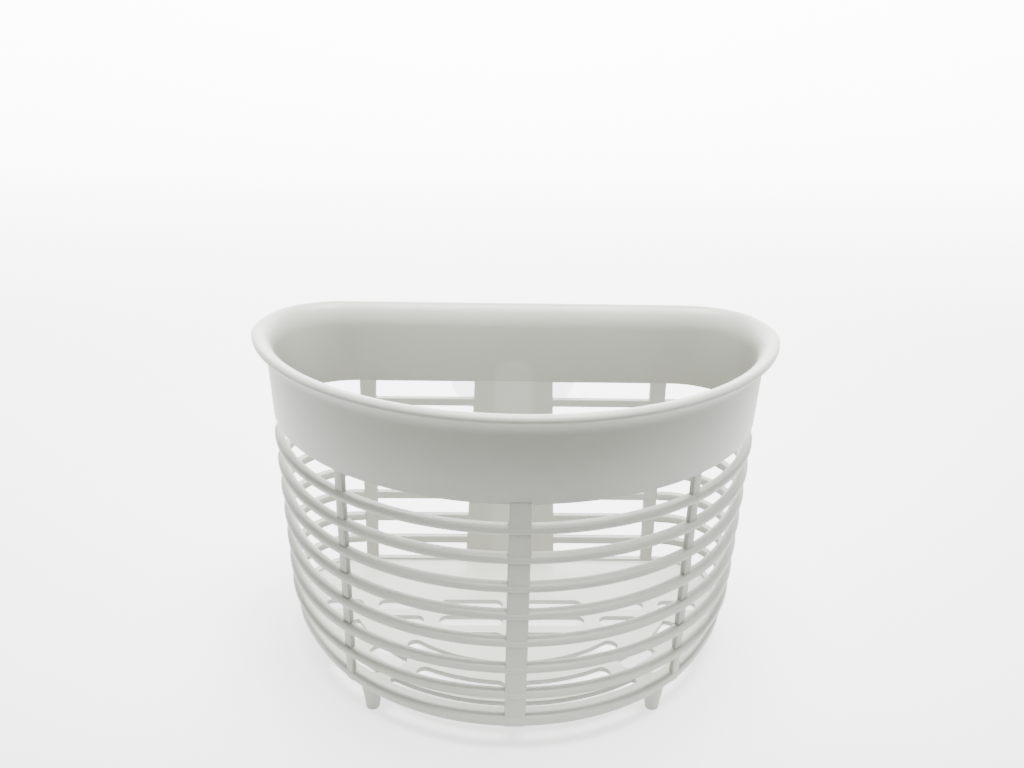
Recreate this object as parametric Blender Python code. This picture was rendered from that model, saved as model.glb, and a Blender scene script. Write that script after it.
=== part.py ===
# Sponge holder: a moulded D-shaped basket of hoops on four feet, hung by one suction cup.
# Metres, +Z up. The flat back faces +Y and the round front faces -Y.
# Inside the functions y = 0 is the inner face of the back wall and z = 0 is the feet's tips.

import math

import bmesh
import bpy
from mathutils import Matrix, Vector

# Overall sizes of the basket
RIM_WIDTH = 0.118
RIM_DEPTH = 0.070
HEIGHT = 0.079

# Wall of the basket
WALL = 0.0016
CLEARANCE = 0.0003
OVERRUN = 0.002
SIDE_DRAFT = 0.0033
FRONT_DRAFT = 0.0022
CORNER_SHARE = 0.3305

# Flared lip round the rim
LIP_REACH = 0.0029
LIP_REAR_REACH = 0.0026
LIP_THICKNESS = 0.0014
LIP_FLARE = 0.0030
LIP_FILLET = 0.0009
LIP_SKIRT = 0.0036

# Rows of slots and the hoops between them
ROWS = 8
BAND_DEPTH = 0.0194
FOOT_HEIGHT = 0.0063
BAR_HEIGHT = 0.0020
BAR_PROUD = 0.0006
BAR_NOSE = 0.0008
RING_HEIGHT = 0.0026

# Upright posts
FRONT_POST_WIDTH = 0.0044
FRONT_POST_PROUD = 0.0004
FRONT_POST_DEPTH = 0.0010
SIDE_POST_SHARE = 0.310
SIDE_POST_WIDTH = 0.0023
SIDE_POST_DEPTH = 0.0009
COLUMN_HIGH_SHARE = 0.0822
COLUMN_LOW_SHARE = 0.1000
SLOT_OUTER_SHARE = 0.2924

# Floor and its drain slits: straight rows behind, arcs that follow the round front before them
FLOOR_DROP = 0.0006
FLOOR_THICKNESS = 0.0012
SLIT_WIDTH = 0.0039
FLOOR_RIB = 0.0036
FLOOR_MARGIN = 0.0030
REAR_LAND = 0.0183
STRAIGHT_PITCH = 0.0066
STRAIGHT_ROWS = 3
STRAIGHT_RIB_SHARES = (0.0, 0.164, 0.2935)
ARC_EDGE = 0.0016
ARC_EDGE_WIDTH = 0.0016
ARC_LAND = 0.0060
ARC_PITCH = 0.0067
EDGE_STOPS = ((0.0, 35.7), (35.7, 60.0))
OUTER_STOPS = ((0.0, 32.2), (32.2, 50.0), (50.0, 65.7))
INNER_STOPS = ((0.0, 43.9),)

# Feet
FOOT_SHARE = 0.2653
FOOT_INSET = 0.0008
FOOT_REAR_Y = 0.0035
FOOT_TOP_RADIUS = 0.0019
FOOT_TIP_RADIUS = 0.0013
FOOT_FLAT_RADIUS = 0.0006
TIP_ROUND_SHARE = 0.3

# Suction cup: head, neck and bell, turned about its own axis
CUP_DROP = 0.0191
HEAD_RADIUS = 0.0046
HEAD_THICKNESS = 0.0016
HEAD_CHAMFER_SHARE = 0.25
NECK_RADIUS = 0.0027
NECK_LENGTH = 0.0023
BELL_RADIUS = 0.0165
BELL_DEPTH = 0.0058
BELL_WALL = 0.0018
BELL_EDGE = 0.0010

# Slotted rail behind the centre column that the cup's head slides up into
RAIL_WIDTH = 0.0160
RAIL_LIP = 0.0014
RAIL_LENGTH = 0.0230
RAIL_TOP_WALL = 0.0022

# Facets
CORNER_STEPS = 8
FRONT_STEPS = 12
NOSE_STEPS = 4
ROUND_STEPS = 32
FOOT_STEPS = 14
SLIT_END_STEPS = 4
SLIT_ARC_STEPS = 5

# Worked out from the sizes above
HALF_WIDTH = RIM_WIDTH / 2 - LIP_REACH
CORNER_X = RIM_WIDTH * CORNER_SHARE
FRONT = RIM_DEPTH - LIP_REACH - WALL - LIP_REAR_REACH
LIP_BOTTOM = HEIGHT - LIP_SKIRT
BAND_EDGE = HEIGHT - BAND_DEPTH
ROW_PITCH = (BAND_EDGE + BAR_HEIGHT - FOOT_HEIGHT - RING_HEIGHT) / ROWS
FLOOR_TOP = FOOT_HEIGHT + RING_HEIGHT - FLOOR_DROP
FLOOR_EDGE = WALL + CLEARANCE
SIDE_POST_X = RIM_WIDTH * SIDE_POST_SHARE
COLUMN_HALF_HIGH = RIM_WIDTH * COLUMN_HIGH_SHARE
COLUMN_HALF_LOW = RIM_WIDTH * COLUMN_LOW_SHARE
SLOT_OUTER_X = RIM_WIDTH * SLOT_OUTER_SHARE
REAR_HALF = CORNER_X - CLEARANCE
FOOT_X = RIM_WIDTH * FOOT_SHARE
CUP_AXIS_Z = HEIGHT - CUP_DROP
HEAD_BACK = WALL + CLEARANCE + HEAD_THICKNESS
RAIL_LIP_FRONT = HEAD_BACK + CLEARANCE
RAIL_BACK = RAIL_LIP_FRONT + RAIL_LIP
CUP_BACK = HEAD_BACK + NECK_LENGTH + BELL_DEPTH
FRONT_EDGE = -FRONT - LIP_REACH
MIDDLE_Y = (FRONT_EDGE + CUP_BACK) / 2

PLASTIC = (0.86, 0.86, 0.83)
PLASTIC_ROUGHNESS = 0.35
SOFT_VINYL = (0.80, 0.83, 0.84)
VINYL_ROUGHNESS = 0.2


def clear_scene():
    for thing in list(bpy.data.objects):
        bpy.data.objects.remove(thing)


def finish(name, colour, roughness):
    material = bpy.data.materials.new(name + "_finish")
    material.use_nodes = True
    shader = material.node_tree.nodes["Principled BSDF"]
    shader.inputs["Base Color"].default_value = (*colour, 1.0)
    shader.inputs["Roughness"].default_value = roughness
    shader.inputs["Metallic"].default_value = 0.0
    return material


def add_object(name, bm, parent, colour=PLASTIC, roughness=PLASTIC_ROUGHNESS):
    bmesh.ops.recalc_face_normals(bm, faces=bm.faces)
    mesh = bpy.data.meshes.new(name)
    bm.to_mesh(mesh)
    bm.free()
    mesh.shade_smooth()
    mesh.set_sharp_from_angle(angle=math.radians(40))
    mesh.materials.append(finish(name, colour, roughness))
    thing = bpy.data.objects.new(name, mesh)
    bpy.context.scene.collection.objects.link(thing)
    thing.parent = parent
    return thing


def add_empty(name, place, parent=None):
    empty = bpy.data.objects.new(name, None)
    bpy.context.scene.collection.objects.link(empty)
    empty.location = place
    empty.parent = parent
    return empty


def mix(low, high, share):
    return low + (high - low) * share


def plan_circles(height):
    """The wall's outer face at one height is a D: a corner arc and a front arc that touch."""
    drop_share = (HEIGHT - height) / (HEIGHT - FOOT_HEIGHT)
    half_width = HALF_WIDTH - SIDE_DRAFT * drop_share
    front = FRONT - FRONT_DRAFT * drop_share
    corner_radius = half_width - CORNER_X
    corner_y = WALL - corner_radius
    reach = corner_y + front
    front_radius = (CORNER_X**2 + reach**2 - corner_radius**2) / (2 * (reach - corner_radius))
    front_y = front_radius - front
    return corner_radius, corner_y, front_radius, front_y


def half_plan(height, outward):
    """Points down the right-hand side of the D, from the end of its flat back to its front."""
    corner_radius, corner_y, front_radius, front_y = plan_circles(height)
    meeting = math.atan2(corner_y - front_y, CORNER_X)
    points = []
    for step in range(CORNER_STEPS + 1):
        angle = mix(math.pi / 2, meeting, step / CORNER_STEPS)
        radius = corner_radius + outward
        points.append((CORNER_X + radius * math.cos(angle), corner_y + radius * math.sin(angle)))
    for step in range(1, FRONT_STEPS + 1):
        angle = mix(meeting, -math.pi / 2, step / FRONT_STEPS)
        radius = front_radius + outward
        points.append((radius * math.cos(angle), front_y + radius * math.sin(angle)))
    return points


def whole_plan(height, outward):
    right = half_plan(height, outward)
    left = [(-x, y) for x, y in reversed(right[:-1])]
    return right + left


def front_y_at(height, outward, x):
    """The y of the round front at one height and one distance from the middle."""
    front_radius, front_y = plan_circles(height)[2:]
    return front_y - math.sqrt((front_radius + outward) ** 2 - x**2)


def loft(rings, closed_path):
    """Skin a row of equal rings. An open row gets a cap at each end."""
    bm = bmesh.new()
    rows = [[bm.verts.new(point) for point in ring] for ring in rings]
    pairs = list(zip(rows, rows[1:]))
    if closed_path:
        pairs.append((rows[-1], rows[0]))
    else:
        bm.faces.new(rows[0])
        bm.faces.new(rows[-1])
    for first, second in pairs:
        for here in range(len(first)):
            there = (here + 1) % len(first)
            bm.faces.new((first[here], first[there], second[there], second[here]))
    return bm


def sweep_plan(section, closed_path):
    """Carry a section of (outward, height) corners round the D, whole or open at the flat back."""
    paths = [whole_plan(height, outward) for outward, height in section]
    rings = []
    for station in zip(*paths):
        rings.append([(x, y, height) for (x, y), (outward, height) in zip(station, section)])
    return loft(rings, closed_path)


def prism(outline, low, high):
    """A flat outline of (x, y) points raised between two heights."""
    bm = bmesh.new()
    base = bm.faces.new([bm.verts.new((x, y, low)) for x, y in outline])
    raised = bmesh.ops.extrude_face_region(bm, geom=[base])["geom"]
    tops = [part for part in raised if isinstance(part, bmesh.types.BMVert)]
    bmesh.ops.translate(bm, vec=(0, 0, high - low), verts=tops)
    bmesh.ops.recalc_face_normals(bm, faces=bm.faces)
    return bm


def turned(profile, axis, steps):
    """Turn an outline of (radius, along) points that starts and ends on the axis."""
    bm = bmesh.new()
    side = Vector((1, 0, 0))
    points = [bm.verts.new(side * radius + axis * along) for radius, along in profile]
    edges = [bm.edges.new(pair) for pair in zip(points, points[1:])]
    bmesh.ops.spin(bm, geom=points + edges, axis=axis, cent=(0, 0, 0),
                   angle=math.tau, steps=steps, use_merge=True)
    bmesh.ops.remove_doubles(bm, verts=bm.verts, dist=CLEARANCE / 10)
    return bm


def cutter_object(name, bm, parent):
    cutter = add_object(name, bm, parent)
    cutter.hide_render = True
    cutter.display_type = "WIRE"
    return cutter


def cut(thing, cutter):
    boolean = thing.modifiers.new(cutter.name, "BOOLEAN")
    boolean.operation = "DIFFERENCE"
    boolean.solver = "EXACT"
    boolean.object = cutter


def arc_points(centre_out, centre_up, radius, start, stop, steps):
    points = []
    for step in range(steps + 1):
        angle = math.radians(mix(start, stop, step / steps))
        points.append((centre_out + radius * math.cos(angle), centre_up + radius * math.sin(angle)))
    return points


def rim_section():
    """Flared lip: the inner face curves out to a thin flange, which has a round edge and a fillet under it."""
    nose = LIP_THICKNESS / 2
    under = HEIGHT - LIP_THICKNESS
    section = [(-WALL, LIP_BOTTOM)]
    section += arc_points(LIP_FLARE - WALL, HEIGHT - LIP_FLARE, LIP_FLARE, 180, 90, NOSE_STEPS)
    section += arc_points(LIP_REACH - nose, HEIGHT - nose, nose, 90, -90, NOSE_STEPS)
    section += arc_points(LIP_FILLET, under - LIP_FILLET, LIP_FILLET, 90, 180, NOSE_STEPS // 2)
    section.append((0, LIP_BOTTOM))
    return section


def rim_lip(parent):
    """The lip reaches a little less far out behind the flat back than it does round the front."""
    bm = sweep_plan(rim_section(), True)
    for vertex in bm.verts:
        beyond = vertex.co.y - WALL
        if beyond > 0:
            vertex.co.y = WALL + beyond * LIP_REAR_REACH / LIP_REACH
    return add_object("rim_lip", bm, parent)


def front_band(parent):
    top = LIP_BOTTOM - CLEARANCE
    section = [(0, BAND_EDGE), (0, top), (-WALL, top), (-WALL, BAND_EDGE)]
    return add_object("front_band", sweep_plan(section, False), parent)


def hoop_section(bottom, height):
    """A bar with a flat inner face and a round nose that stands proud of the wall."""
    middle = bottom + height / 2
    section = [(-WALL, bottom), (-WALL, bottom + height)]
    for step in range(NOSE_STEPS + 1):
        angle = mix(math.pi / 2, -math.pi / 2, step / NOSE_STEPS)
        outward = BAR_PROUD - BAR_NOSE + BAR_NOSE * math.cos(angle)
        section.append((outward, middle + height / 2 * math.sin(angle)))
    return section


def front_post_ring(height, width, inner, outer):
    half = width / 2
    outer_y = front_y_at(height, outer, 0)
    inner_y = front_y_at(height, inner, 0)
    return [(-half, outer_y, height), (half, outer_y, height), (half, inner_y, height), (-half, inner_y, height)]


def front_post_loft(grow):
    """The flat strip down the middle of the front, or its housing when grown by a clearance."""
    low = FOOT_HEIGHT - (OVERRUN if grow else 0)
    high = BAND_EDGE - CLEARANCE
    width = FRONT_POST_WIDTH + 2 * grow
    inner = FRONT_POST_PROUD - FRONT_POST_DEPTH - grow
    outer = FRONT_POST_PROUD + (OVERRUN if grow else 0)
    return loft([front_post_ring(height, width, inner, outer) for height in (low, high)], False)


def side_post_ring(height, side, width, inner, outer):
    front_radius, front_y = plan_circles(height)[2:]
    angle = math.asin(SIDE_POST_X / front_radius)
    out = Vector((math.sin(angle), -math.cos(angle), 0))
    along = Vector((math.cos(angle), math.sin(angle), 0))
    centre = Vector((0, front_y, height))
    ring = []
    for across, outward in ((-1, inner), (1, inner), (1, outer), (-1, outer)):
        corner = centre + out * (front_radius + outward) + along * across * width / 2
        ring.append((corner.x * side, corner.y, corner.z))
    return ring


def side_post_loft(side, grow):
    """An upright strip inside the hoops, or its housing when grown by a clearance."""
    low = FOOT_HEIGHT - (OVERRUN if grow else 0)
    high = BAND_EDGE - CLEARANCE
    width = SIDE_POST_WIDTH + 2 * grow
    inner = -WALL - (OVERRUN if grow else 0)
    outer = -WALL + SIDE_POST_DEPTH + grow
    return loft([side_post_ring(height, side, width, inner, outer) for height in (low, high)], False)


def hoops_and_posts(parent):
    add_object("front_post", front_post_loft(0), parent)
    add_object("left_post", side_post_loft(-1, 0), parent)
    add_object("right_post", side_post_loft(1, 0), parent)
    housings = [
        cutter_object("front_post_housing", front_post_loft(CLEARANCE), parent),
        cutter_object("left_post_housing", side_post_loft(-1, CLEARANCE), parent),
        cutter_object("right_post_housing", side_post_loft(1, CLEARANCE), parent),
    ]
    hoops = []
    for row in range(1, ROWS):
        section = hoop_section(BAND_EDGE - row * ROW_PITCH, BAR_HEIGHT)
        hoops.append(add_object(f"hoop_{row}", sweep_plan(section, False), parent))
    section = hoop_section(FOOT_HEIGHT, RING_HEIGHT)
    hoops.append(add_object("bottom_ring", sweep_plan(section, False), parent))
    for hoop in hoops:
        for housing in housings:
            cut(hoop, housing)


def rear_wall(parent):
    """Flat back: a grid of strips and bars with two slots a row, thickened to the wall."""
    heights = [FOOT_HEIGHT]
    for row in range(ROWS, 0, -1):
        heights.append(BAND_EDGE - row * ROW_PITCH + BAR_HEIGHT)
        heights.append(BAND_EDGE - (row - 1) * ROW_PITCH)
    heights.append(LIP_BOTTOM - CLEARANCE)
    bm = bmesh.new()
    grid = []
    for height in heights:
        share = min((height - FOOT_HEIGHT) / (BAND_EDGE - FOOT_HEIGHT), 1)
        column = mix(COLUMN_HALF_LOW, COLUMN_HALF_HIGH, share)
        right = (column, SLOT_OUTER_X, REAR_HALF)
        across = [-x for x in reversed(right)] + list(right)
        grid.append([bm.verts.new((x, 0, height)) for x in across])
    for level, (lower, upper) in enumerate(zip(grid, grid[1:])):
        slotted = level % 2 == 1 and level < len(heights) - 2
        for place in range(len(lower) - 1):
            if slotted and place in (1, 3):
                continue
            bm.faces.new((lower[place], lower[place + 1], upper[place + 1], upper[place]))
    bmesh.ops.recalc_face_normals(bm, faces=bm.faces)
    thick = bmesh.ops.extrude_face_region(bm, geom=bm.faces[:])["geom"]
    moved = [part for part in thick if isinstance(part, bmesh.types.BMVert)]
    bmesh.ops.translate(bm, vec=(0, WALL, 0), verts=moved)
    return add_object("rear_wall", bm, parent)


def straight_slit(low_x, high_x, rear_y):
    """A slit with round ends between two places across the floor."""
    radius = SLIT_WIDTH / 2
    middle = rear_y - radius
    points = []
    for centre, start in ((high_x - radius, math.pi / 2), (low_x + radius, -math.pi / 2)):
        for step in range(SLIT_END_STEPS + 1):
            angle = start - math.pi * step / SLIT_END_STEPS
            points.append((centre + radius * math.cos(angle), middle + radius * math.sin(angle)))
    return points


def arc_slit(centre_y, radius, width, start, stop):
    """A slit with round ends along an arc, its angles counted from the front."""
    half = width / 2
    points = []
    for sense, near, far in ((1, start, stop), (-1, stop, start)):
        for step in range(SLIT_ARC_STEPS + 1):
            angle = mix(near, far, step / SLIT_ARC_STEPS)
            edge = radius + sense * half
            points.append((edge * math.sin(angle), centre_y - edge * math.cos(angle)))
        for step in range(1, SLIT_END_STEPS):
            turn = math.pi * step / SLIT_END_STEPS
            edge = radius + sense * half * math.cos(turn)
            along = sense * half * math.sin(turn)
            points.append((edge * math.sin(far) + along * math.cos(far),
                           centre_y - edge * math.cos(far) + along * math.sin(far)))
    return points


def arc_rows(edge_radius):
    """Three rows of arcs, the outermost a narrow one beside the ring: (radius, width, spans)."""
    outer_radius = edge_radius - ARC_LAND - SLIT_WIDTH / 2
    return [
        (edge_radius - ARC_EDGE - ARC_EDGE_WIDTH / 2, ARC_EDGE_WIDTH, EDGE_STOPS),
        (outer_radius, SLIT_WIDTH, OUTER_STOPS),
        (outer_radius - ARC_PITCH, SLIT_WIDTH, INNER_STOPS),
    ]


def arc_slits(rows, centre_y):
    outlines = []
    for radius, width, spans in rows:
        rib = (FLOOR_RIB / 2 + width / 2) / radius
        for start, stop in spans:
            outlines.append(arc_slit(centre_y, radius, width, math.radians(start) + rib, math.radians(stop) - rib))
    return outlines


def row_reach(rows, edge_radius, centre_y, front_edge):
    """How far from the arcs' centre a straight row may run: it stops behind each arc that it passes."""
    reach = edge_radius - FLOOR_MARGIN
    for radius, width, spans in rows:
        inner = radius - width / 2
        arc_end = centre_y - inner * math.cos(math.radians(spans[-1][1]))
        if front_edge - FLOOR_RIB / 2 < arc_end:
            reach = min(reach, inner - FLOOR_RIB)
    return reach


def straight_slits(rows, edge_radius, centre_y):
    """Rows that run across, between the ribs and up to the floor's edge or the arcs before them."""
    outlines = []
    ribs = [share * RIM_WIDTH for share in STRAIGHT_RIB_SHARES]
    for row in range(STRAIGHT_ROWS):
        rear_y = -REAR_LAND - row * STRAIGHT_PITCH
        front_edge = rear_y - SLIT_WIDTH
        reach = row_reach(rows, edge_radius, centre_y, front_edge)
        outer = math.sqrt(max(reach**2 - (front_edge - centre_y) ** 2, 0))
        for rib, low in enumerate(ribs):
            low_x = low + FLOOR_RIB / 2 + (CLEARANCE if rib == 0 else 0)
            high_x = min(outer, ribs[rib + 1] - FLOOR_RIB / 2) if rib + 1 < len(ribs) else outer
            if high_x - low_x > SLIT_WIDTH:
                outlines.append(straight_slit(low_x, high_x, rear_y))
    return outlines


def floor_plate(parent):
    front_radius, front_y = plan_circles(FOOT_HEIGHT)[2:]
    outline = whole_plan(FOOT_HEIGHT, -FLOOR_EDGE)
    low = FLOOR_TOP - FLOOR_THICKNESS
    plate = add_object("floor", prism(outline, low, FLOOR_TOP), parent)
    edge_radius = front_radius - FLOOR_EDGE
    rows = arc_rows(edge_radius)
    right_side = straight_slits(rows, edge_radius, front_y) + arc_slits(rows, front_y)
    left_side = [[(-x, y) for x, y in reversed(outline)] for outline in right_side]
    slits = bmesh.new()
    for outline in right_side + left_side:
        tool = prism(outline, low - OVERRUN, FLOOR_TOP + OVERRUN)
        piece = bpy.data.meshes.new("slit")
        tool.to_mesh(piece)
        tool.free()
        slits.from_mesh(piece)
        bpy.data.meshes.remove(piece)
    cut(plate, cutter_object("floor_slits", slits, parent))
    return plate


def feet(parent):
    """Four tapered pegs with round tips, two under the ring and two under the rear corners."""
    tip_step = FOOT_TIP_RADIUS - FOOT_FLAT_RADIUS
    tip_round = tip_step * TIP_ROUND_SHARE
    tip = [(0, 0), (FOOT_FLAT_RADIUS, 0), (FOOT_TIP_RADIUS - tip_round, tip_round), (FOOT_TIP_RADIUS, tip_step)]
    front = ("front", front_y_at(FOOT_HEIGHT, -FOOT_INSET, FOOT_X), FOOT_HEIGHT - CLEARANCE)
    rear = ("rear", -FOOT_REAR_Y, FLOOR_TOP - FLOOR_THICKNESS - CLEARANCE)
    for side, side_name in ((-1, "left"), (1, "right")):
        for end_name, y, top in (front, rear):
            profile = tip + [(FOOT_TOP_RADIUS, FOOT_HEIGHT - CLEARANCE), (FOOT_TOP_RADIUS, top), (0, top)]
            if end_name == "front":
                profile.pop(-2)
            bm = turned(profile, Vector((0, 0, 1)), FOOT_STEPS)
            foot = add_object(f"foot_{end_name}_{side_name}", bm, parent)
            foot.location = (side * FOOT_X, y, 0)


def arch_outline(half_width, low, centre_z, steps):
    """An upside-down U of (x, z) points: straight sides and a half-round top."""
    points = [(-half_width, low), (half_width, low)]
    for step in range(steps + 1):
        angle = math.pi * step / steps
        points.append((half_width * math.cos(angle), centre_z + half_width * math.sin(angle)))
    return points


def arch_prism(half_width, low, centre_z, near_y, far_y):
    bm = prism(arch_outline(half_width, low, centre_z, ROUND_STEPS // 2), -far_y, -near_y)
    bmesh.ops.rotate(bm, cent=(0, 0, 0), matrix=Matrix.Rotation(math.pi / 2, 3, "X"), verts=bm.verts)
    return bm


def cup_rail(parent):
    """Raised rail with an undercut slot, open below and closed by an arch that rests on the neck."""
    arch_top = CUP_AXIS_Z + HEAD_RADIUS + CLEARANCE + RAIL_TOP_WALL
    low = arch_top - RAIL_LENGTH
    rail = add_object("cup_rail", arch_prism(RAIL_WIDTH / 2, low, arch_top - RAIL_WIDTH / 2,
                                             WALL + CLEARANCE, RAIL_BACK), parent)
    head_half = HEAD_RADIUS + CLEARANCE
    neck_half = NECK_RADIUS + CLEARANCE
    head_way = arch_prism(head_half, low - OVERRUN, CUP_AXIS_Z, WALL - OVERRUN, RAIL_LIP_FRONT)
    neck_way = arch_prism(neck_half, low - OVERRUN, CUP_AXIS_Z, WALL - OVERRUN, RAIL_BACK + OVERRUN)
    cut(rail, cutter_object("rail_head_way", head_way, parent))
    cut(rail, cutter_object("rail_neck_way", neck_way, parent))


def bell_curve(radius, depth, start_radius):
    """The bell's side leaves the neck nearly flat and sweeps out and back to its edge."""
    points = []
    for step in range(1, NOSE_STEPS + 1):
        share = step / NOSE_STEPS
        points.append((mix(start_radius, radius, share), depth * share**2))
    return points


def suction_cup(parent):
    """Soft cup in one piece: a round head, a short neck and a hollow bell with a flat edge."""
    head_front = -HEAD_THICKNESS
    bell_front = NECK_LENGTH
    bell_back = bell_front + BELL_DEPTH
    chamfer = HEAD_THICKNESS * HEAD_CHAMFER_SHARE
    profile = [(0, head_front), (HEAD_RADIUS - chamfer, head_front), (HEAD_RADIUS, head_front + chamfer),
               (HEAD_RADIUS, -chamfer), (HEAD_RADIUS - chamfer, 0), (NECK_RADIUS, 0), (NECK_RADIUS, bell_front)]
    shoulder = NECK_RADIUS + BELL_WALL
    side = bell_curve(BELL_RADIUS, BELL_DEPTH - BELL_EDGE, shoulder)
    profile += [(shoulder, bell_front)] + [(radius, bell_front + depth) for radius, depth in side]
    profile += [(BELL_RADIUS, bell_back), (BELL_RADIUS - BELL_EDGE, bell_back)]
    hollow = bell_curve(BELL_RADIUS - BELL_EDGE, BELL_DEPTH - BELL_WALL, 0)
    profile += [(radius, bell_front + BELL_WALL + depth) for radius, depth in reversed(hollow[:-1])]
    profile.append((0, bell_front + BELL_WALL))
    bm = turned(profile, Vector((0, 1, 0)), ROUND_STEPS)
    return add_object("suction_cup", bm, parent, SOFT_VINYL, VINYL_ROUGHNESS)


def build():
    clear_scene()
    basket = add_empty("basket_frame", (0, -MIDDLE_Y, 0))
    cup_frame = add_empty("cup_frame", (0, HEAD_BACK, CUP_AXIS_Z), basket)
    rim_lip(basket)
    front_band(basket)
    hoops_and_posts(basket)
    rear_wall(basket)
    floor_plate(basket)
    feet(basket)
    cup_rail(basket)
    suction_cup(cup_frame)


build()
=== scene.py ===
from math import asin, atan2, cos, hypot, pi, radians, sin, sqrt

import bmesh
import bpy
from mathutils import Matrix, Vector


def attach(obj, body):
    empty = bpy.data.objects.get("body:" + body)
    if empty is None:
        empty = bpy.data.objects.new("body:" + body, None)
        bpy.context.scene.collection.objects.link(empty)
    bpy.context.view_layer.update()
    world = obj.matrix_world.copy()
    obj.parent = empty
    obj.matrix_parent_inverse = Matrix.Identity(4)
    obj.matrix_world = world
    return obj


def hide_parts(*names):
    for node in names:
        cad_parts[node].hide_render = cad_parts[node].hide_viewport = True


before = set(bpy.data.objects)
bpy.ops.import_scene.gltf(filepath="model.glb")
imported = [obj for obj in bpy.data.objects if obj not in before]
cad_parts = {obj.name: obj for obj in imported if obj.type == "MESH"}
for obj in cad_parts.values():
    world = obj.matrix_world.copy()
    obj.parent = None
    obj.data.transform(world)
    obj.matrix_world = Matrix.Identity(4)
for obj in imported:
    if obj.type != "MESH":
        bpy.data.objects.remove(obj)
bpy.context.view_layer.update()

# Camera. It looks down at the round front from above the rim and a little to the left. Its place, angle and lens
# are those that put the basket where the photograph has it.
bpy.ops.object.camera_add(location=(-0.00630, -0.19030, 0.14558))
camera = bpy.context.object
camera.name = "camera"
camera.rotation_euler = (radians(68.316), radians(-1.115), radians(-1.107))
camera.data.lens = 33.151
camera.data.sensor_width = 36
camera.data.clip_start = 0.01
bpy.context.scene.camera = camera


# Rim and band. The whole basket is one injection moulding in off-white polypropylene. Its top is a plain wall
# that flares out into a thin round lip on all sides, and the open rows begin at the wall's lower edge.
rim_top, band_edge, ring_foot = 0.079, 0.0596, 0.0063
half_width, front_reach, back_face, flat_half = 0.0561, 0.0358, 0.0287, 0.0390
side_draft, front_draft = 0.0024, 0.0022
ring_step_top, ring_step_in = 0.0120, 0.0009
hair = 0.0001  # slack for finding vertices and edges by their place


def plan(height):
    """Corner radius, corner centre y, front radius and front centre y of the outer face at one height.

    Every level is the same D of flat back, corner, long front arc and corner, and the draft makes it smaller
    downwards. The lowest hoop and the ring step in a little more at the sides.
    """
    drop = (rim_top - height) / (rim_top - ring_foot)
    ring_step = max(0, (ring_step_top - height) / (ring_step_top - ring_foot))
    corner_radius = half_width - side_draft * drop - ring_step_in * ring_step - flat_half
    corner_y = back_face - corner_radius
    ahead = corner_y + front_reach - front_draft * drop
    front_radius = (flat_half**2 + ahead**2 - corner_radius**2) / (2 * (ahead - corner_radius))
    return corner_radius, corner_y, front_radius, corner_y - ahead + front_radius


def start(kind, scale=(1, 1, 1), **where):
    """A new primitive with its place in its mesh, and nothing else selected."""
    bpy.ops.object.select_all(action="DESELECT")
    getattr(bpy.ops.mesh, "primitive_" + kind + "_add")(**where)
    bpy.context.object.scale = scale
    bpy.ops.object.transform_apply(location=True, rotation=True, scale=True)
    return bpy.context.object


def edit(piece):
    """Only this piece is selected, and it is opened in edit mode with nothing selected."""
    bpy.ops.object.select_all(action="DESELECT")
    piece.select_set(True)
    bpy.context.view_layer.objects.active = piece
    bpy.ops.object.mode_set(mode="EDIT")
    bpy.ops.mesh.select_all(action="DESELECT")


def pick(piece, kind, wanted):
    """Select the vertices, edges or faces whose middle passes the test."""
    mesh = bmesh.from_edit_mesh(piece.data)
    bpy.ops.mesh.select_mode(type={"verts": "VERT", "edges": "EDGE", "faces": "FACE"}[kind])
    bpy.ops.mesh.select_all(action="DESELECT")
    for part in getattr(mesh, kind):
        if kind == "verts":
            middle = part.co
        elif kind == "edges":
            middle = (part.verts[0].co + part.verts[1].co) / 2
        else:
            middle = part.calc_center_median()
        if wanted(middle):
            part.select_set(True)
    bmesh.update_edit_mesh(piece.data)


def keep_outline():
    """Take the flat section's face away, and select the outline that is left."""
    bpy.ops.mesh.select_mode(type="EDGE")
    bpy.ops.mesh.select_all(action="SELECT")
    bpy.ops.mesh.delete(type="ONLY_FACE")
    bpy.ops.mesh.select_all(action="SELECT")


def carry_round(height, corner_steps=20, front_steps=96):
    """Spin what is selected, which starts at the right end of the flat back, round to the left end."""
    corner_radius, corner_y, front_radius, front_y = plan(height)
    meeting = atan2(corner_y - front_y, flat_half)
    corner = pi / 2 - meeting
    for steps, turn, centre in (
        (corner_steps, corner, (flat_half, corner_y, 0)),
        (front_steps, pi + 2 * meeting, (0, front_y, 0)),
        (corner_steps, corner, (-flat_half, corner_y, 0)),
    ):
        bpy.ops.mesh.spin(steps=steps, angle=turn, center=centre, axis=(0, 0, 1))


def close_back():
    """Carry the left end straight across the flat back, and join it to the right end."""
    bpy.ops.mesh.extrude_region_move(TRANSFORM_OT_translate={"value": (2 * flat_half, 0, 0)})
    bpy.ops.mesh.select_all(action="SELECT")
    bpy.ops.mesh.remove_doubles(threshold=0.000005)


def finish(piece, name, *nodes, body="basket", slot="basket_plastic", finish_of=None):
    """Faces turned out and smooth, then the piece rides on its body in place of its CAD nodes."""
    if piece.mode != "EDIT":
        edit(piece)
    bpy.ops.mesh.select_all(action="SELECT")
    bpy.ops.mesh.remove_doubles(threshold=0.000005)
    bpy.ops.mesh.normals_make_consistent(inside=False)
    bpy.ops.object.mode_set(mode="OBJECT")
    bpy.ops.object.transform_apply(location=True, rotation=True, scale=True)
    bpy.ops.object.shade_smooth_by_angle(angle=radians(38))
    piece.name = name
    piece.data.name = name
    piece.data.materials.clear()
    piece.data.materials.append(finish_of or plastic)
    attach(piece, body)
    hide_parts(*nodes)


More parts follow.
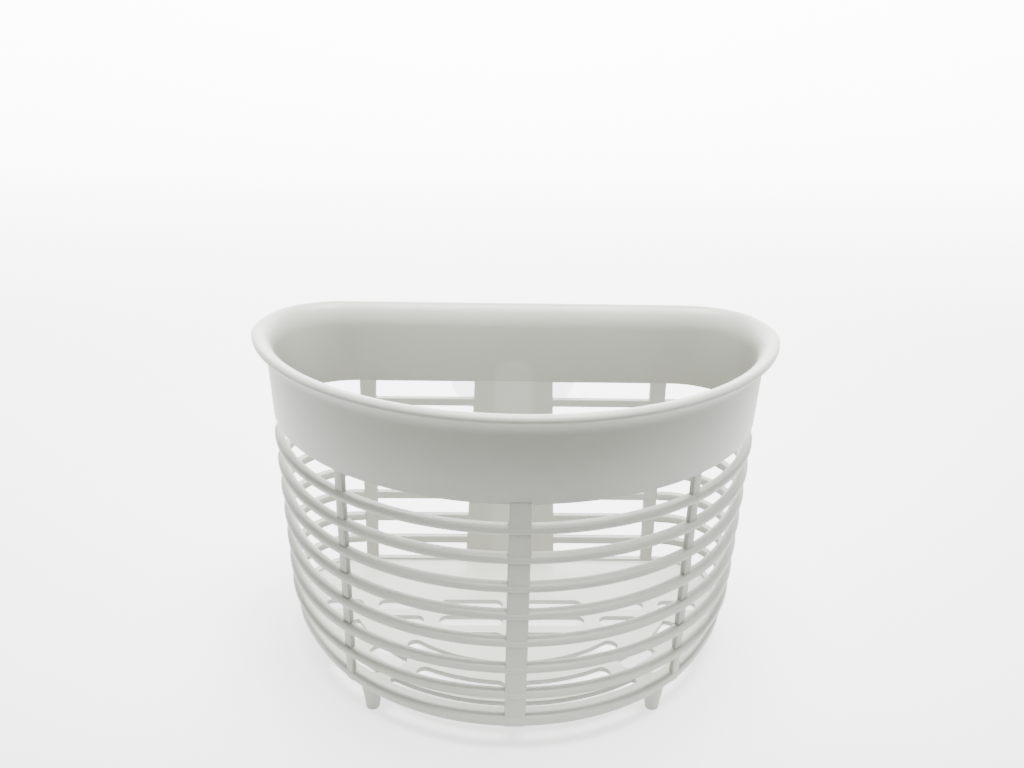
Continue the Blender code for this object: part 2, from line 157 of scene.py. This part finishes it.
# The moulding's finish: a soft gloss, faint flow clouds in the colour, and a very fine waviness that breaks up the
# highlights. A strip of the back wall is paler, arched at the top, where the cup's rail thickens the wall.
plastic_darker, plastic_lighter, plastic_thick = (0.346, 0.350, 0.308), (0.374, 0.378, 0.335), (0.44, 0.445, 0.405)
cloud_scale, wave_scale, glossiest, dullest = 34, 260, 0.36, 0.44
strip_arch_z, strip_edge, strip_core, strip_share = 0.0605, 0.0056, 0.0040, 0.6
strip_fades_from_y, strip_full_at_y = 0.0240, 0.0262
plastic = bpy.data.materials.new("basket_plastic_look")
plastic.use_nodes = True
nodes, links = plastic.node_tree.nodes, plastic.node_tree.links
shader = nodes["Principled BSDF"]
place = nodes.new("ShaderNodeTexCoord")
clouds = nodes.new("ShaderNodeTexNoise")
clouds.inputs["Scale"].default_value = cloud_scale
clouds.inputs["Detail"].default_value = 3
links.new(place.outputs["Object"], clouds.inputs["Vector"])
tint = nodes.new("ShaderNodeValToRGB")
tint.color_ramp.elements[0].position = 0.3
tint.color_ramp.elements[0].color = (*plastic_darker, 1)
tint.color_ramp.elements[1].position = 0.7
tint.color_ramp.elements[1].color = (*plastic_lighter, 1)
links.new(clouds.outputs["Fac"], tint.inputs["Fac"])

apart = nodes.new("ShaderNodeSeparateXYZ")
links.new(place.outputs["Object"], apart.inputs["Vector"])
rise = nodes.new("ShaderNodeMath")
rise.operation = "SUBTRACT"
rise.inputs[1].default_value = strip_arch_z
links.new(apart.outputs["Z"], rise.inputs[0])
over = nodes.new("ShaderNodeMath")
over.operation = "MAXIMUM"
over.inputs[1].default_value = 0
links.new(rise.outputs["Value"], over.inputs[0])
arch_place = nodes.new("ShaderNodeCombineXYZ")
links.new(apart.outputs["X"], arch_place.inputs["X"])
links.new(over.outputs["Value"], arch_place.inputs["Y"])
arch_reach = nodes.new("ShaderNodeVectorMath")
arch_reach.operation = "LENGTH"
links.new(arch_place.outputs["Vector"], arch_reach.inputs[0])
arch_edge = nodes.new("ShaderNodeMapRange")
arch_edge.inputs["From Min"].default_value = strip_edge
arch_edge.inputs["From Max"].default_value = strip_core
links.new(arch_reach.outputs["Value"], arch_edge.inputs["Value"])
at_back = nodes.new("ShaderNodeMapRange")
at_back.inputs["From Min"].default_value = strip_fades_from_y
at_back.inputs["From Max"].default_value = strip_full_at_y
at_back.inputs["To Max"].default_value = strip_share
links.new(apart.outputs["Y"], at_back.inputs["Value"])
thicker = nodes.new("ShaderNodeMath")
thicker.operation = "MULTIPLY"
links.new(arch_edge.outputs["Result"], thicker.inputs[0])
links.new(at_back.outputs["Result"], thicker.inputs[1])
shade = nodes.new("ShaderNodeMix")
shade.data_type = "RGBA"
shade.inputs["B"].default_value = (*plastic_thick, 1)
links.new(thicker.outputs["Value"], shade.inputs["Factor"])
links.new(tint.outputs["Color"], shade.inputs["A"])
links.new(shade.outputs["Result"], shader.inputs["Base Color"])

gloss = nodes.new("ShaderNodeMapRange")
gloss.inputs["To Min"].default_value = glossiest
gloss.inputs["To Max"].default_value = dullest
links.new(clouds.outputs["Fac"], gloss.inputs["Value"])
links.new(gloss.outputs["Result"], shader.inputs["Roughness"])
waves = nodes.new("ShaderNodeTexNoise")
waves.inputs["Scale"].default_value = wave_scale
waves.inputs["Detail"].default_value = 2
links.new(place.outputs["Object"], waves.inputs["Vector"])
bump = nodes.new("ShaderNodeBump")
bump.inputs["Strength"].default_value = 0.04
bump.inputs["Distance"].default_value = 0.0004
links.new(waves.outputs["Fac"], bump.inputs["Height"])
links.new(bump.outputs["Normal"], shader.inputs["Normal"])
shader.inputs["IOR"].default_value = 1.49
shader.inputs["Specular IOR Level"].default_value = 0.3

# The shell's section is drawn at the right end of the flat back: a wall, a lip that stands out, the flare inside,
# the lip's round nose, the fillet under it and a softened lower edge.
wall, lip_reach, lip = 0.0016, 0.0029, 0.0019
flare, nose, fillet, soft_edge = 0.0035, 0.00094, 0.0019, 0.00022
flare_stretch, fillet_stretch = 1.6, 1.7
inner_face, lip_under = back_face - wall, rim_top - lip
flare_y, flare_z = inner_face + flare, rim_top - flare
shell = start("plane", size=1, location=(flat_half, back_face - wall / 2, (band_edge + rim_top) / 2),
              rotation=(0, radians(90), 0), scale=(rim_top - band_edge, wall, 1))
edit(shell)
bpy.ops.mesh.select_all(action="SELECT")
bpy.ops.mesh.bisect(plane_co=(0, 0, lip_under), plane_no=(0, 0, 1))
pick(shell, "edges", lambda at: at.y > back_face - hair and at.z > lip_under + hair)
bpy.ops.mesh.extrude_region_move(TRANSFORM_OT_translate={"value": (0, lip_reach, 0)})
bpy.ops.mesh.select_all(action="SELECT")
bpy.ops.mesh.dissolve_limited(angle_limit=radians(1))
for corner_at, offset, segments in (
    (lambda at: at.z > rim_top - hair and at.y < inner_face + hair, flare, 16),
    (lambda at: at.y > back_face + lip_reach - hair, nose, 8),
    (lambda at: abs(at.z - lip_under) < hair and abs(at.y - back_face) < hair, fillet, 10),
    (lambda at: at.z < band_edge + hair, soft_edge, 2),
):
    pick(shell, "verts", corner_at)
    bpy.ops.mesh.bevel(offset=offset, segments=segments, affect="VERTICES")
pick(shell, "verts", lambda at: at.y < flare_y and at.z < rim_top - hair / 5
     and abs(hypot(at.y - flare_y, at.z - flare_z) - flare) < hair / 2)
bpy.ops.transform.resize(value=(1, 1, flare_stretch), center_override=(0, 0, rim_top))
pick(shell, "verts", lambda at: at.y > back_face - hair / 5 and lip_under - fillet - hair < at.z < lip_under)
bpy.ops.transform.resize(value=(1, 1, fillet_stretch), center_override=(0, 0, lip_under))
keep_outline()
carry_round(rim_top)
close_back()

# The band's lower edge is drawn in, the lip is shallower behind, and the two back corners are fuller than an arc.
low_edge_draft, rear_lip_share = (0.9886, 0.9909, 1), 0.897
corner_push, corner_fade, flared_above = 0.0016, 0.015, 0.0700
pick(shell, "verts", lambda at: at.z < band_edge + 10 * hair)
bpy.ops.transform.resize(value=low_edge_draft, center_override=(0, back_face, 0))
pick(shell, "verts", lambda at: at.y > back_face + hair / 10)
bpy.ops.transform.resize(value=(1, rear_lip_share, 1), center_override=(0, back_face, 0))
for side in (-1, 1):
    pick(shell, "verts", lambda at: side * at.x > flat_half - 5 * hair and at.y > inner_face - 3 * hair
         and at.z > flared_above)
    bpy.ops.transform.translate(value=(side * corner_push, 0, 0), use_proportional_edit=True,
                                proportional_edit_falloff="SMOOTH", proportional_size=corner_fade)
finish(shell, "basket_shell", "rim_lip", "front_band")


# Hoops and bottom ring. Seven slim bars, moulded with the band, run round both corners and the front. A bar is
# flat inside, rounded outside and a little proud of the band. The ring below them is taller and is drawn in at
# its two front corners. The bars' thinned ends run into the back wall.
hoop_count, hoop_pitch = 7, 0.0065875
bar_tall, ring_tall, bar_deep, bar_proud = 0.0020, 0.0026, 0.0022, 0.0006
bar_outer_round, bar_inner_round = 0.00092, 0.0003
end_length, end_y, end_thinning = 0.0022, 0.0279, (1, 0.55, 0.75)
ring_narrowing, last_hoop_narrowing, narrow_ahead_of, narrowing_fade = 0.972, 0.99, -0.012, 0.026
levels = [(f"hoop_{row}", band_edge - row * hoop_pitch, bar_tall) for row in range(1, hoop_count + 1)]
levels.append(("bottom_ring", ring_foot, ring_tall))
for name, bottom, tall in levels:
    middle_z = bottom + tall / 2
    hoop = start("plane", size=1, location=(flat_half, back_face + bar_proud - bar_deep / 2, middle_z),
                 rotation=(0, radians(90), 0), scale=(tall, bar_deep, 1))
    edit(hoop)
    pick(hoop, "verts", lambda at: at.y > back_face + hair)
    bpy.ops.mesh.bevel(offset=bar_outer_round, segments=6, affect="VERTICES")
    pick(hoop, "verts", lambda at: at.y < back_face + bar_proud - bar_deep + 4 * hair)
    bpy.ops.mesh.bevel(offset=bar_inner_round, segments=3, affect="VERTICES")
    keep_outline()
    carry_round(bottom)
    bpy.ops.mesh.extrude_region_move(TRANSFORM_OT_translate={"value": (end_length, 0, 0)})
    bpy.ops.transform.resize(value=end_thinning, center_override=(0, end_y, middle_z))
    bpy.ops.mesh.edge_face_add()
    pick(hoop, "edges", lambda at: at.y > 0.02 and abs(at.x - flat_half) < hair / 10)
    bpy.ops.mesh.extrude_region_move(TRANSFORM_OT_translate={"value": (-end_length, 0, 0)})
    bpy.ops.transform.resize(value=end_thinning, center_override=(0, end_y, middle_z))
    bpy.ops.mesh.edge_face_add()
    if name in ("bottom_ring", f"hoop_{hoop_count}"):
        narrowing = ring_narrowing if name == "bottom_ring" else last_hoop_narrowing
        pick(hoop, "verts", lambda at: at.y < narrow_ahead_of)
        bpy.ops.transform.resize(value=(narrowing, 1, 1), center_override=(0, 0, 0), use_proportional_edit=True,
                                 proportional_edit_falloff="SMOOTH", proportional_size=narrowing_fade)
    finish(hoop, name + "_bar", name)


# Back wall. A flat panel of the same moulding. Its centre column stays solid and widens downwards, with two slots
# a row between the column and a narrow post on each side. The slots line up with the gaps between the hoops.
panel_front, panel_thick, panel_wide, panel_tall, panel_middle = 0.02712, 0.00156, 0.0762, 0.0554, 0.034
column_half, column_widens, slot_end, slot_end_widens = 0.0097, 0.0021, 0.0341, 0.0010
panel = start("plane", size=1, location=(0, panel_front, panel_middle), rotation=(radians(90), 0, 0),
              scale=(panel_wide, panel_tall, 1))
edit(panel)
for row in range(1, hoop_count + 2):
    for height in (band_edge - row * hoop_pitch + bar_tall, band_edge - (row - 1) * hoop_pitch):
        bpy.ops.mesh.select_all(action="SELECT")
        bpy.ops.mesh.bisect(plane_co=(0, 0, height), plane_no=(0, 0, 1))
for side in (-1, 1):
    for high_x, widens in ((column_half, column_widens), (slot_end, slot_end_widens)):
        bpy.ops.mesh.select_all(action="SELECT")
        bpy.ops.mesh.bisect(plane_co=(side * high_x, 0, band_edge),
                            plane_no=Vector((band_edge - ring_foot, 0, side * widens)).normalized())


def in_slot(at):
    """Whether a face of the panel lies in one of the slots."""
    share = (band_edge - at.z) / (band_edge - ring_foot)
    across = column_half + column_widens * share < abs(at.x) < slot_end + slot_end_widens * share
    in_rows = ring_foot + ring_tall < at.z < band_edge
    return across and in_rows and (band_edge - at.z) % hoop_pitch < hoop_pitch - bar_tall


def apply_all(piece):
    """Turn the piece's modifiers into its mesh."""
    bpy.ops.object.select_all(action="DESELECT")
    piece.select_set(True)
    bpy.context.view_layer.objects.active = piece
    for modifier in list(piece.modifiers):
        bpy.ops.object.modifier_apply(modifier=modifier.name)


pick(panel, "faces", in_slot)
bpy.ops.mesh.delete(type="FACE")
bpy.ops.mesh.select_all(action="SELECT")
bpy.ops.mesh.dissolve_limited(angle_limit=radians(0.05))
bpy.ops.mesh.select_all(action="SELECT")
bpy.ops.mesh.extrude_region_move(TRANSFORM_OT_translate={"value": (0, panel_thick, 0)})
finish(panel, "back_wall", "rear_wall")
softened = panel.modifiers.new("soft_edges", "BEVEL")
softened.width = soft_edge
softened.segments = 2
softened.limit_method = "ANGLE"
apply_all(panel)


# Front post. A flat strip down the middle of the front, moulded nearly flush with the hoops' outer faces. It runs
# into the band above, where its top is feathered back, and into the ring below.
post_y, post_middle = -0.0347, 0.03325
post_wide, post_deep, post_tall = 0.0044, 0.0018, 0.0535
post_lean, post_round, feather_from, feather = 0.0016, 0.0003, 0.0570, 0.0003
post = start("cube", size=1, location=(0, post_y, post_middle), scale=(post_wide, post_deep, post_tall))
edit(post)
pick(post, "verts", lambda at: at.z < post_middle)
bpy.ops.transform.translate(value=(0, post_lean, 0))
pick(post, "edges", lambda at: abs(at.x) > post_wide / 2 - hair and at.y < post_y + post_lean / 2
     and abs(at.z - post_middle) < hair)
bpy.ops.mesh.bevel(offset=post_round, segments=3)
bpy.ops.mesh.select_all(action="SELECT")
bpy.ops.mesh.bisect(plane_co=(0, 0, feather_from), plane_no=(0, 0, 1))
pick(post, "verts", lambda at: at.z > post_middle + post_tall / 2 - hair and at.y < post_y)
bpy.ops.transform.translate(value=(0, feather, 0))
finish(post, "front_strip", "front_post")


# Side posts. Two slim strips of the same moulding stand inside the hoops. They lean out a little towards the
# floor and turn to face along the front arc's radius.
strip_wide, strip_deep, strip_tall, strip_middle = 0.0022, 0.0012, 0.0536, 0.0331
strip_foot_in, strip_round = 0.0008, 0.0002
for side, name in ((-1, "left_post"), (1, "right_post")):
    strip = start("cube", size=1, scale=(strip_wide, strip_deep, strip_tall), location=(0, 0, strip_middle))
    edit(strip)
    for is_foot, level, across, set_back in ((True, ring_foot, 0.0370, 0.0004), (False, 0.0599, 0.0362, 0.0007)):
        front_radius, front_y = plan(level)[2:]
        turn, from_centre = asin(across / front_radius), front_radius - set_back
        strip_place = (side * from_centre * sin(turn), front_y - from_centre * cos(turn), 0)
        pick(strip, "verts", lambda at: (at.z < strip_middle) == is_foot)
        bpy.ops.transform.translate(value=strip_place)
        bpy.ops.transform.rotate(value=-side * turn, orient_axis="Z", center_override=strip_place)
    pick(strip, "verts", lambda at: at.z < strip_middle)
    bpy.ops.transform.translate(value=(-side * strip_foot_in, 0, 0))
    pick(strip, "edges", lambda at: abs(at.z - strip_middle) < hair)
    bpy.ops.mesh.bevel(offset=strip_round, segments=2)
    finish(strip, name + "_strip", name)


# Floor. A thin plate, moulded inside the ring. Water drains through straight slits behind and through arcs that
# follow the front, all with round ends.
floor_low, floor_high, floor_inset = 0.0071, 0.0083, 0.0013
slit_z, slit_tall, slit_wide, narrow_slit, slit_round, arc_round_share = 0.0077, 0.004, 0.0039, 0.0016, 0.0019, 0.48
plate = start("plane", size=1, location=(flat_half, back_face - floor_inset, (floor_low + floor_high) / 2),
              rotation=(0, radians(90), 0), scale=(floor_high - floor_low, 0.0004, 1))
edit(plate)
pick(plate, "verts", lambda at: at.y > back_face - floor_inset)
bpy.ops.mesh.delete(type="VERT")
bpy.ops.mesh.select_mode(type="EDGE")
bpy.ops.mesh.select_all(action="SELECT")
carry_round(ring_foot, 12, 64)
close_back()
for level in (floor_low, floor_high):
    pick(plate, "edges", lambda at: abs(at.z - level) < hair / 10)
    bpy.ops.mesh.edge_face_add()
bpy.ops.mesh.select_all(action="SELECT")
bpy.ops.mesh.normals_make_consistent(inside=False)
bpy.ops.object.mode_set(mode="OBJECT")

front_radius, front_y = plan(ring_foot)[2:]
cutters = []
for rear, spans in (
    (0.0088, ((0.0021, 0.01755), (0.02115, 0.0328), (0.0364, 0.0459))),
    (0.0022, ((0.0021, 0.01755), (0.02115, 0.0312))),
    (-0.0044, ((0.0021, 0.0137),)),
):
    for near, far in spans:
        slit = start("cube", size=1, location=((near + far) / 2, rear - slit_wide / 2, slit_z),
                     scale=(far - near, slit_wide, slit_tall))
        edit(slit)
        pick(slit, "edges", lambda at: abs(at.z - slit_z) < hair)
        bpy.ops.mesh.bevel(offset=slit_round, segments=6)
        bpy.ops.object.mode_set(mode="OBJECT")
        cutters.append(slit)
for radius, wide, spans in (
    (0.04877, narrow_slit, ((2.1, 33.6), (37.8, 57.9))),
    (0.04322, slit_wide, ((2.4, 29.8), (34.6, 47.6), (52.4, 63.3))),
    (0.03652, slit_wide, ((2.8, 41.1),)),
):
    for near, far in spans:
        slit = start("plane", size=1, location=(0, front_y - radius, slit_z), rotation=(0, radians(90), 0),
                     scale=(slit_tall, wide, 1))
        edit(slit)
        bpy.ops.mesh.select_all(action="SELECT")
        bpy.ops.transform.rotate(value=radians(-near), orient_axis="Z", center_override=(0, front_y, 0))
        bpy.ops.mesh.spin(steps=10, angle=radians(near - far), center=(0, front_y, 0), axis=(0, 0, 1))
        ends = [Vector((radius * sin(radians(turn)), front_y - radius * cos(radians(turn)), slit_z))
                for turn in (near, far)]
        pick(slit, "edges", lambda at: min(abs((at - end).length - wide / 2) for end in ends) < hair / 2)
        bpy.ops.mesh.bevel(offset=wide * arc_round_share, segments=5)
        bpy.ops.mesh.select_all(action="SELECT")
        bpy.ops.mesh.normals_make_consistent(inside=False)
        bpy.ops.object.mode_set(mode="OBJECT")
        cutters.append(slit)


def cut_with(piece, cutter):
    """Take the cutter's shape out of the piece and remove the cutter."""
    boolean = piece.modifiers.new("cut", "BOOLEAN")
    boolean.object = cutter
    boolean.operation = "DIFFERENCE"
    boolean.solver = "EXACT"
    apply_all(piece)
    bpy.data.objects.remove(cutter)


bpy.ops.object.select_all(action="DESELECT")
for slit in cutters:
    slit.select_set(True)
bpy.context.view_layer.objects.active = cutters[0]
bpy.ops.object.join()
slits = bpy.context.object
mirror = slits.modifiers.new("both_sides", "MIRROR")
mirror.use_mirror_merge = False
apply_all(slits)
cut_with(plate, slits)
finish(plate, "slit_floor", "floor")


# Feet. Four short tapered pegs with round tips, moulded on: two under the front of the ring and two under the
# floor's rear corners.
foot_x, foot_tip, foot_root, tip_round, foot_set_back = 0.0313, 0.0015, 0.0025, 0.0014, 0.0028
rear_foot_y, front_foot_top, rear_foot_top = 0.0236, 0.0072, 0.0074
front_foot_y = front_y - sqrt((front_radius - foot_set_back) ** 2 - foot_x**2)
for side, side_name in ((-1, "left"), (1, "right")):
    for end_name, y, top in (("front", front_foot_y, front_foot_top), ("rear", rear_foot_y, rear_foot_top)):
        foot = start("cone", vertices=32, radius1=foot_tip, radius2=foot_root, depth=top, end_fill_type="NGON",
                     location=(side * foot_x, y, top / 2))
        edit(foot)
        pick(foot, "verts", lambda at: at.z < hair)
        bpy.ops.mesh.select_mode(type="EDGE")
        bpy.ops.mesh.bevel(offset=tip_round, segments=8)
        finish(foot, f"peg_{end_name}_{side_name}", f"foot_{end_name}_{side_name}")


# Cup rail. A raised boss, moulded on the back of the wall. It is arched at the top and open below, and a T-shaped
# way in it takes the cup's round head.
def arch(half, centre, low, near, far):
    """A block with a half-round top, between two places from front to back."""
    block = start("cube", size=1, location=(0, (near + far) / 2, (low + centre + half) / 2),
                  scale=(2 * half, far - near, centre + half - low))
    edit(block)
    pick(block, "edges", lambda at: at.z > centre + half - hair and abs(at.x) > half - hair)
    bpy.ops.mesh.bevel(offset=half - 0.00002, segments=16)
    bpy.ops.mesh.select_all(action="SELECT")
    bpy.ops.mesh.normals_make_consistent(inside=False)
    bpy.ops.object.mode_set(mode="OBJECT")
    return block


cup_axis_z = 0.0599
boss_half, boss_centre, boss_low, boss_front, boss_back, boss_round = 0.0080, 0.0590, 0.0440, 0.0285, 0.0323, 0.0004
way_low, way_front = 0.0400, 0.0280
head_way_half, head_way_back, neck_way_half, neck_way_back = 0.0049, 0.0309, 0.0030, 0.0340
boss = arch(boss_half, boss_centre, boss_low, boss_front, boss_back)
edit(boss)
pick(boss, "faces", lambda at: at.y > boss_back - hair)
bpy.ops.mesh.bevel(offset=boss_round, segments=3)
bpy.ops.object.mode_set(mode="OBJECT")
cut_with(boss, arch(head_way_half, cup_axis_z, way_low, way_front, head_way_back))
cut_with(boss, arch(neck_way_half, cup_axis_z, way_low, way_front, neck_way_back))
finish(boss, "rail_boss", "cup_rail")


# Suction cup. One moulding in clear soft vinyl: a round head that slips into the rail, a short neck, and a thin
# hollow bell that clings to tile. It slides down and out of the rail.
vinyl_darker, vinyl_lighter = (0.86, 0.89, 0.90), (0.92, 0.94, 0.94)
vinyl = bpy.data.materials.new("clear_vinyl")
vinyl.use_nodes = True
nodes, links = vinyl.node_tree.nodes, vinyl.node_tree.links
shader = nodes["Principled BSDF"]
place = nodes.new("ShaderNodeTexCoord")
haze = nodes.new("ShaderNodeTexNoise")
haze.inputs["Scale"].default_value = 120
links.new(place.outputs["Object"], haze.inputs["Vector"])
haze_tint = nodes.new("ShaderNodeValToRGB")
haze_tint.color_ramp.elements[0].color = (*vinyl_darker, 1)
haze_tint.color_ramp.elements[1].color = (*vinyl_lighter, 1)
links.new(haze.outputs["Fac"], haze_tint.inputs["Fac"])
links.new(haze_tint.outputs["Color"], shader.inputs["Base Color"])
haze_gloss = nodes.new("ShaderNodeMapRange")
haze_gloss.inputs["To Min"].default_value = 0.08
haze_gloss.inputs["To Max"].default_value = 0.16
links.new(haze.outputs["Fac"], haze_gloss.inputs["Value"])
links.new(haze_gloss.outputs["Result"], shader.inputs["Roughness"])
shader.inputs["Transmission Weight"].default_value = 0.85
shader.inputs["IOR"].default_value = 1.5

# The cup is drawn out ring by ring, as (y, radius): head, neck, the bell's outside, its edge, then the hollow.
cup_front, head_face = 0.0290, 0.0038
head_and_neck = [(0.02908, 0.0043), (0.02930, 0.0046), (0.03030, 0.0046), (0.03052, 0.0043), (0.0306, 0.0036),
                 (0.0306, 0.0030), (0.0308, 0.0027), (0.0326, 0.0027), (0.0328, 0.0030)]
bell_steps = 10
bell = [(0.0329 + 0.0048 * (step / bell_steps) ** 2, 0.0045 + 0.0120 * step / bell_steps)
        for step in range(bell_steps + 1)]
bell_edge = [(0.0382, 0.0165), (0.0386, 0.0163), (0.0387, 0.0159)]
hollow = [(0.0347 + 0.0040 * (step / bell_steps) ** 2, 0.0155 * step / bell_steps)
          for step in range(bell_steps, 0, -1)]
cup = start("circle", vertices=64, radius=head_face, fill_type="NGON", location=(0, cup_front, cup_axis_z),
            rotation=(radians(90), 0, 0))
edit(cup)
bpy.ops.mesh.select_mode(type="FACE")
bpy.ops.mesh.select_all(action="SELECT")
at_y, size = cup_front, head_face
for y, radius in (*head_and_neck, *bell, *bell_edge, *hollow):
    bpy.ops.mesh.extrude_region_move(TRANSFORM_OT_translate={"value": (0, y - at_y, 0)})
    bpy.ops.transform.resize(value=(radius / size, 1, radius / size), center_override=(0, y, cup_axis_z))
    at_y, size = y, radius
bpy.ops.mesh.select_mode(type="EDGE")
pick(cup, "edges", lambda at: at.y < cup_front + hair / 100)
bpy.ops.mesh.edge_face_add()
finish(cup, "clear_cup", "suction_cup", body="cup", slot="cup_vinyl", finish_of=vinyl)


# Studio. A seamless sheet of white paper, flat under the basket and curved up behind it. The paper glows by its own
# emission. This painted light is brightest under and behind the basket and fades to plain paper in front of it.
sheet_size, sheet_rise, sheet_sweep = 2.4, (0, 0.1, 1.6), 0.7
bpy.ops.object.select_all(action="DESELECT")
bpy.ops.mesh.primitive_plane_add(size=sheet_size, location=(0, 0.2, 0))
card = bpy.context.object
edit(card)
pick(card, "edges", lambda at: at.y > 1.1)
bpy.ops.mesh.extrude_region_move(TRANSFORM_OT_translate={"value": sheet_rise})
pick(card, "edges", lambda at: 0.9 < at.y < 1.45 and abs(at.z) < 0.01 and abs(at.x) < 0.1)
bpy.ops.mesh.bevel(offset=sheet_sweep, segments=24)
bpy.ops.object.mode_set(mode="OBJECT")
bpy.ops.object.transform_apply(location=True, rotation=True, scale=True)
bpy.ops.object.shade_smooth()
card.name = "white_card"

# The card's glow is painted light from its own emission. It is nothing in front of the basket and rises under the
# basket and behind it.
glow_begins, glow_full, glow_bend, glow_strength = -0.12, 1.2, 0.7, 12
white = bpy.data.materials.new("white_card_look")
white.use_nodes = True
nodes, links = white.node_tree.nodes, white.node_tree.links
shader = nodes["Principled BSDF"]
place = nodes.new("ShaderNodeTexCoord")
mottle = nodes.new("ShaderNodeTexNoise")
mottle.inputs["Scale"].default_value = 900
links.new(place.outputs["Object"], mottle.inputs["Vector"])
paper = nodes.new("ShaderNodeMapRange")
paper.inputs["To Min"].default_value = 0.45
paper.inputs["To Max"].default_value = 0.47
links.new(mottle.outputs["Fac"], paper.inputs["Value"])
links.new(paper.outputs["Result"], shader.inputs["Base Color"])
shader.inputs["Roughness"].default_value = 0.9
shader.inputs["Emission Color"].default_value = (1, 1, 1, 1)
depth = nodes.new("ShaderNodeSeparateXYZ")
links.new(place.outputs["Object"], depth.inputs["Vector"])
glow = nodes.new("ShaderNodeMapRange")
glow.inputs["From Min"].default_value = glow_begins
glow.inputs["From Max"].default_value = glow_full
links.new(depth.outputs["Y"], glow.inputs["Value"])
soften = nodes.new("ShaderNodeMath")
soften.operation = "POWER"
soften.inputs[1].default_value = glow_bend
links.new(glow.outputs["Result"], soften.inputs[0])
strength = nodes.new("ShaderNodeMath")
strength.operation = "MULTIPLY"
strength.inputs[1].default_value = glow_strength
links.new(soften.outputs["Value"], strength.inputs[0])
links.new(strength.outputs["Value"], shader.inputs["Emission Strength"])
card.data.materials.append(white)

# Light. A soft box straight above the basket, a weak one that evens out the sheet behind, and a dim white room.
for name, location, tilt, size, energy in (
    ("overhead_softbox", (0.03, -0.04, 0.6), (6, 3), 0.3, 2.9),
    ("card_softbox", (0, 0.5, 0.9), (35, 0), 0.7, 4),
):
    bpy.ops.object.light_add(type="AREA", location=location, rotation=(radians(tilt[0]), radians(tilt[1]), 0))
    softbox = bpy.context.object
    softbox.name = name
    softbox.data.size = size
    softbox.data.spread = radians(60)
    softbox.data.energy = energy
room = bpy.data.worlds.new("white_room")
room.use_nodes = True
room.node_tree.nodes["Background"].inputs["Color"].default_value = (1, 1, 0.985, 1)
room.node_tree.nodes["Background"].inputs["Strength"].default_value = 0.22
bpy.context.scene.world = room
